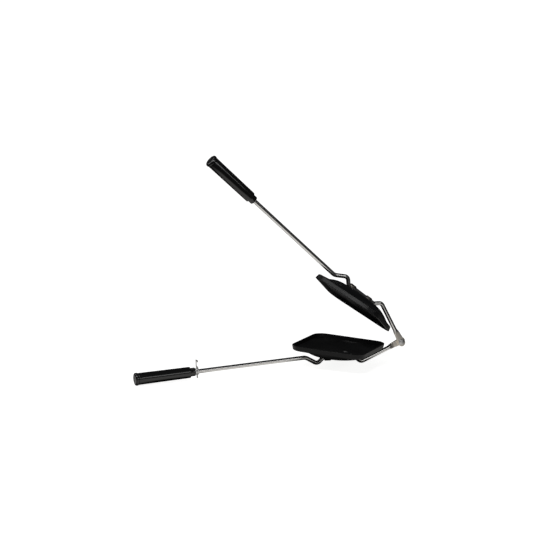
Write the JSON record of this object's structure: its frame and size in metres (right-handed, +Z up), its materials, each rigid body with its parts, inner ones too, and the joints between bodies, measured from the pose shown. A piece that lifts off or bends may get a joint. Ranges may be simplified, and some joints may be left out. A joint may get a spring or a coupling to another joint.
{
  "type": "sandwich toaster",
  "caption": "Long-handled hob sandwich toaster: facing square domed pans on bent chrome rods, joined by a riveted hinge, with black handles and a small latch clip.",
  "frame": {"origin": "centre of the footprint of the bounding box, on the surface that the toaster stands on", "axes": "+X along the rods from the handles to the hinge, +Y along the hinge pin, +Z up"},
  "size_m": [0.4282, 0.1478, 0.3245],
  "materials": {
    "nonstick": "black non-stick coating, satin",
    "rod_chrome": "bright plated steel rod",
    "stamped_steel": "stamped zinc-plated steel",
    "rivet_steel": "formed rivet steel",
    "handle_plastic": "glossy black moulded plastic"
  },
  "bodies": {
    "lower_half": {"lower_pan": "nonstick", "lower_rod": "rod_chrome", "hinge_rivet": "rivet_steel", "hinge_washer": "stamped_steel", "lower_front_saddle": "stamped_steel", "lower_rear_saddle": "stamped_steel", "lower_saddle_rivets": "rivet_steel", "lower_handle": "handle_plastic", "lower_handle_washer": "stamped_steel", "lower_handle_nut": "stamped_steel", "lower_end_cap": "handle_plastic", "latch_spacer": "stamped_steel", "latch_retainer": "stamped_steel"},
    "upper_half": {"upper_pan": "nonstick", "upper_rod": "rod_chrome", "upper_front_saddle": "stamped_steel", "upper_rear_saddle": "stamped_steel", "upper_saddle_rivets": "rivet_steel", "upper_handle": "handle_plastic", "upper_handle_washer": "stamped_steel", "upper_handle_nut": "stamped_steel", "upper_end_cap": "handle_plastic"},
    "latch": {"latch_clip": "stamped_steel"}
  },
  "joints": [
    {"name": "hinge", "type": "hinge", "parent": "lower_half", "child": "upper_half", "pos_m": [0.2068, 0, 0.02703], "axis": [0, 1, 0], "range_deg": [-34.6, 145.4]},
    {"name": "latch_swivel", "type": "hinge", "parent": "lower_half", "child": "latch", "pos_m": [-0.11955, 0, 0.01192], "axis": [0.9996, 0, 0.0283], "continuous": true}
  ]
}
